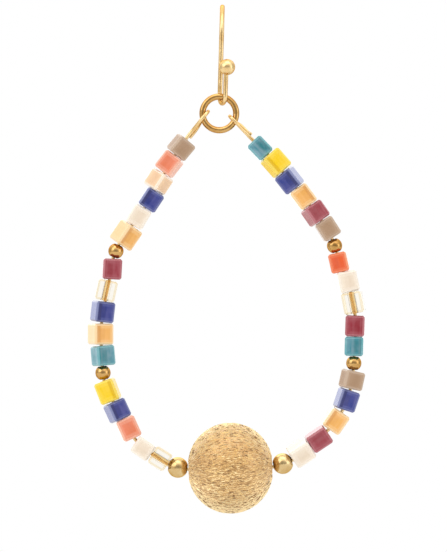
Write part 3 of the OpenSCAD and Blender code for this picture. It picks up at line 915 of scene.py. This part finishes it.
# Studio
def set_camera(scene, studio):
    """A level camera, square on to the teardrop."""
    plane_y = sum(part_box("jump_ring"), Vector()).y / 2
    aim = Vector((studio.aim_across, plane_y, -studio.aim_below))
    lens = bpy.data.cameras.new("camera")
    lens.sensor_width = 36
    lens.lens = lens.sensor_width * studio.distance / studio.frame_height
    lens.clip_start, lens.clip_end = 0.05, 5
    camera = new_object("camera", lens)
    camera.location = aim - Vector((0, studio.distance, 0))
    camera.rotation_euler = (math.pi / 2, 0, 0)
    scene.camera = camera


def lay_floor(studio):
    """A round floor of matt white paper, below the picture."""
    shape = bmesh.new()
    bmesh.ops.create_circle(shape, cap_ends=True, segments=96, radius=studio.floor_radius)
    bmesh.ops.translate(shape, verts=shape.verts, vec=(CENTRE.x, CENTRE.y, -studio.floor_drop))
    new_piece("floor", mesh_of("floor", shape), floor_paper())


def hang_softboxes(studio):
    """A key softbox high on the left, one on the right and one above, all facing the earring."""
    boxes = (
        # name, place from the earring's centre, width and height, power
        ("key softbox", Vector((-0.45, -0.35, 0.3)), (0.45, 0.45), studio.key_power),
        ("right softbox", Vector((0.5, -0.25, 0.05)), (0.3, 0.4), studio.fill_power),
        ("top softbox", Vector((0.0, -0.1, 0.5)), (0.4, 0.3), studio.fill_power),
    )
    for name, place, size, power in boxes:
        light = bpy.data.lights.new(name, "AREA")
        light.shape, light.size, light.size_y = "RECTANGLE", *size
        light.energy = power
        softbox = new_object(name, light)
        softbox.location = CENTRE + place
        softbox.rotation_euler = place.to_track_quat("Z", "Y").to_euler()


def mirrored_tent(tree, way):
    """How bright the tent is, way by way, where the metal and the glass mirror it."""
    aside, forwards, upwards = add(tree, "ShaderNodeSeparateXYZ", {0: way}).outputs
    # The front glows, but is dim round the lens
    front = add(tree, "ShaderNodeMapRange", {0: forwards, 1: -0.35, 2: 0.1, 3: 1.1, 4: 0.72}, **EASED)
    lens = add(tree, "ShaderNodeMapRange", {0: forwards, 1: -0.97, 2: -0.6, 3: 0.45, 4: 1.0}, **EASED)
    # The back and the roof are the brightest
    back = add(tree, "ShaderNodeMapRange", {0: forwards, 1: 0.4, 2: 0.75, 3: 1.0, 4: 1.9}, **EASED)
    above = add(tree, "ShaderNodeMapRange", {0: upwards, 1: 0.2, 2: 0.9, 3: 1.0, 4: 1.9})
    # The walls beside the earring are a little dimmer, up to the light behind it
    off_line = add(tree, "ShaderNodeMath", {0: aside}, operation="ABSOLUTE")
    walls = add(tree, "ShaderNodeMapRange", {0: off_line, 1: 0.4, 2: 0.9, 3: 1.0, 4: 0.85})
    past_walls = add(tree, "ShaderNodeMapRange", {0: forwards, 1: 0.0, 2: 0.6, 3: 0.0, 4: 1.0})
    beside = add(tree, "ShaderNodeMath", {0: walls, 1: past_walls}, operation="MAXIMUM")
    # A large soft light above and behind, a little to the left, whitens the edges that face it
    glow_from = (-0.32, 0.79, 0.53)
    towards = add(tree, "ShaderNodeVectorMath", {0: way, 1: glow_from}, operation="DOT_PRODUCT")
    glow = add(tree, "ShaderNodeMapRange", {0: towards, 1: 0.84, 2: 0.95, 3: 1.0, 4: 1.25}, **EASED)
    mirrored = front
    for part in (back, lens, beside, above, glow):
        mirrored = add(tree, "ShaderNodeMath", {0: mirrored, 1: part}, operation="MULTIPLY")
    return mirrored


def white_tent():
    """The surround: a white tent, a little warm in front, before a plain white background. What
    the earring mirrors, what shines through its glass and what only lights it differ."""
    world = bpy.data.worlds.new("white tent")
    world.use_nodes = True
    tree = world.node_tree
    tree.nodes.clear()
    way = add(tree, "ShaderNodeTexCoord").outputs["Generated"]
    forwards = add(tree, "ShaderNodeSeparateXYZ", {0: way}).outputs[1]
    # What lights the earring is stronger from above and a little from the left
    lit_from = (-0.12, 0.0, 0.25)
    leaning = add(tree, "ShaderNodeVectorMath", {0: way, 1: lit_from}, operation="DOT_PRODUCT")
    ambient = add(tree, "ShaderNodeMath", {0: leaning, 1: 0.88}, operation="ADD")
    # What shines through the clear glass is dim from the sides
    onwards = add(tree, "ShaderNodeMath", {0: forwards}, operation="ABSOLUTE")
    through = add(tree, "ShaderNodeMapRange", {0: onwards, 1: 0.1, 2: 0.7, 3: 0.35, 4: 1.0}, **EASED)
    path = add(tree, "ShaderNodeLightPath").outputs
    seen_by = {
        "Is Glossy Ray": mirrored_tent(tree, way), "Is Transmission Ray": through, "Is Camera Ray": 1.0,
    }
    strength = ambient
    for ray, seen in seen_by.items():
        strength = add(tree, "ShaderNodeMix", {0: path[ray], 2: strength, 3: seen})
    behind = add(tree, "ShaderNodeMapRange", {0: forwards, 1: -0.2, 2: 0.7, 3: 0.3, 4: 1.0}, **EASED)
    white = add(tree, "ShaderNodeMath", {0: behind, 1: path["Is Camera Ray"]}, operation="MAXIMUM")
    warm, plain_white = linear("#efe2cf"), linear("#ffffff")
    paper = add(tree, "ShaderNodeMix", {0: white, 6: warm, 7: plain_white}, data_type="RGBA")
    surround = add(tree, "ShaderNodeBackground", {"Color": paper, "Strength": strength})
    add(tree, "ShaderNodeOutputWorld", {"Surface": surround})
    return world


# Operators
class EARRING_OT_ear_wire(bpy.types.Operator):
    """Bend the ear wire: tail, arch, shank, small loop and front leg with its ball"""

    bl_idname = "earring.ear_wire"
    bl_label = "Ear Wire"

    def execute(self, context):
        sizes, tints = context.scene.earring_sizes, context.scene.earring_colours
        course, top = ear_wire_course(sizes)
        lean = Matrix.Rotation(sizes.lean, 3, "Y")
        wire = bent_wire(
            "ear_wire", [lean @ p for p in course], sizes.wire, sides=24,
            material=drawn_plate(tints.drawn_gold), round_tip=True,
        )
        ball = front_ball(sizes, lean, top)
        shape = bmesh.new()
        shape.from_mesh(wire.data)
        shape.from_mesh(ball)
        shape.to_mesh(wire.data)
        shape.free()
        bpy.data.meshes.remove(ball)
        wire.data.shade_smooth()
        seat(wire, "hook", "ear_hook")
        return {"FINISHED"}


class EARRING_OT_jump_ring(bpy.types.Operator):
    """Close the jump ring in the small loop"""

    bl_idname = "earring.jump_ring"
    bl_label = "Jump Ring"

    def execute(self, context):
        sizes, tints = context.scene.earring_sizes, context.scene.earring_colours
        low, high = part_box("jump_ring")
        middle = (low + high) / 2
        radius = (high.x - low.x - sizes.ring_wire) / 2
        cut, cut_at = sizes.ring_cut / radius, math.radians(75)
        course = [
            middle + radius * Vector((math.cos(a), 0, math.sin(a)))
            for a in spaced(cut_at + cut / 2, 2 * math.pi - cut, steps=96)
        ]
        ring = bent_wire(
            "closed_jump_ring", course, sizes.ring_wire, sides=32,
            material=polished_plate(tints.polished_gold),
        )
        seat(ring, "ring", "jump_ring")
        return {"FINISHED"}


class EARRING_OT_bead_wire(bpy.types.Operator):
    """Bend the bead wire to its teardrop, with an eye round the jump ring at each end"""

    bl_idname = "earring.bead_wire"
    bl_label = "Bead Wire"

    def execute(self, context):
        sizes, tints = context.scene.earring_sizes, context.scene.earring_colours
        wire = bent_wire(
            "teardrop_wire", smooth_course(course_of("bead_wire"), steps=3), sizes.thread, sides=16,
            material=drawn_plate(tints.drawn_gold),
        )
        seat(wire, DROP, "bead_wire")
        return {"FINISHED"}


class EARRING_OT_glass_cubes(bpy.types.Operator):
    """Cut the bevelled glass cubes and put each in its place on the wire"""

    bl_idname = "earring.glass_cubes"
    bl_label = "Glass Cubes"

    def execute(self, context):
        sizes, tints = context.scene.earring_sizes, context.scene.earring_colours
        finishes = {slot: lustred_glass(slot, getattr(tints, slot)) for slot in GLASS}
        finishes["glass_clear"] = clear_glass(tints.glass_clear)
        for i, node in enumerate(BEADS):
            if SLOTS[node] in finishes:
                name = node.replace("bead_", "cube_")
                seat(glass_cube(name, i, sizes, finishes[SLOTS[node]]), DROP, node)
        return {"FINISHED"}


class EARRING_OT_plated_balls(bpy.types.Operator):
    """Turn the polished balls between the cubes"""

    bl_idname = "earring.plated_balls"
    bl_label = "Plated Balls"

    def execute(self, context):
        sizes, tints = context.scene.earring_sizes, context.scene.earring_colours
        small, spacer = polished_plate(tints.polished_gold), pale_plate(tints.pale_gold)
        for i, node in enumerate(BEADS):
            if SLOTS[node] != "polished_gold":
                continue
            low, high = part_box(node)
            outline = ball_outline((high.y - low.y) / 2, sizes.ball_bore, sizes.rim, steps=32)
            name = node.replace("bead_", "ball_")
            mesh = turned(name, outline, bead_axis(i), MIDDLES[i], sides=48)
            finish = spacer if "spacer" in node else small
            seat(new_piece(name, mesh, finish), DROP, node)
        return {"FINISHED"}


class EARRING_OT_brushed_ball(bpy.types.Operator):
    """Raise the large hollow ball and brush it from hole to hole"""

    bl_idname = "earring.brushed_ball"
    bl_label = "Brushed Ball"

    def execute(self, context):
        sizes, tints = context.scene.earring_sizes, context.scene.earring_colours
        i = next(i for i, node in enumerate(BEADS) if SLOTS[node] == "brushed_gold")
        finish = brushed_plate(tints.brushed_gold)
        ball = new_piece("brushed_ball", hollow_ball(i, sizes), finish)
        stroke = new_object("stroke", stroke_mesh())
        give_inputs(ball, strokes_tree(), {
            "Stroke": stroke, "Per Square Metre": sizes.strokes_per_mm2 / MM ** 2,
            "Length": sizes.stroke_length, "Width": sizes.stroke_width, "Height": sizes.stroke_height,
            "Wander": sizes.stroke_wander, "Seed": sizes.stroke_seed, "Finish": finish,
        })
        ball = plain(ball)
        bpy.data.objects.remove(stroke)
        seat(ball, DROP, BEADS[i])
        return {"FINISHED"}


class EARRING_OT_studio(bpy.types.Operator):
    """Set up the white studio: camera, floor, softboxes and surround"""

    bl_idname = "earring.studio"
    bl_label = "Studio"

    def execute(self, context):
        scene, studio = context.scene, context.scene.earring_studio
        set_camera(scene, studio)
        lay_floor(studio)
        hang_softboxes(studio)
        scene.world = white_tent()
        scene.view_settings.view_transform = "Standard"
        scene.view_settings.look = "None"
        return {"FINISHED"}


class EARRING_PT_panel(bpy.types.Panel):
    """The earring's pieces and studio, with their sizes and colours"""

    bl_idname = "EARRING_PT_panel"
    bl_label = "Beaded Earring"
    bl_space_type = "VIEW_3D"
    bl_region_type = "UI"
    bl_category = "Earring"

    def draw(self, context):
        for operator in OPERATORS:
            self.layout.operator(operator.bl_idname)
        for name in GROUPS:
            group = getattr(context.scene, name)
            box = self.layout.box()
            for key in group.bl_rna.properties.keys():
                if key not in ("rna_type", "name"):
                    box.prop(group, key)


OPERATORS = (
    EARRING_OT_ear_wire,
    EARRING_OT_jump_ring,
    EARRING_OT_bead_wire,
    EARRING_OT_glass_cubes,
    EARRING_OT_plated_balls,
    EARRING_OT_brushed_ball,
    EARRING_OT_studio,
)
GROUPS = {
    "earring_sizes": EarringSizes,
    "earring_colours": EarringColours,
    "earring_studio": EarringStudio,
}


def register():
    for cls in (*GROUPS.values(), *OPERATORS, EARRING_PT_panel):
        bpy.utils.register_class(cls)
    for name, cls in GROUPS.items():
        setattr(bpy.types.Scene, name, PointerProperty(type=cls))


def unregister():
    for name in GROUPS:
        delattr(bpy.types.Scene, name)
    for cls in (EARRING_PT_panel, *reversed(OPERATORS), *reversed(GROUPS.values())):
        bpy.utils.unregister_class(cls)


def main():
    """Builds the earring and its studio."""
    register()
    bpy.ops.earring.ear_wire()
    bpy.ops.earring.jump_ring()
    bpy.ops.earring.bead_wire()
    bpy.ops.earring.glass_cubes()
    bpy.ops.earring.plated_balls()
    bpy.ops.earring.brushed_ball()
    bpy.ops.earring.studio()


if __name__ == "__main__":
    main()
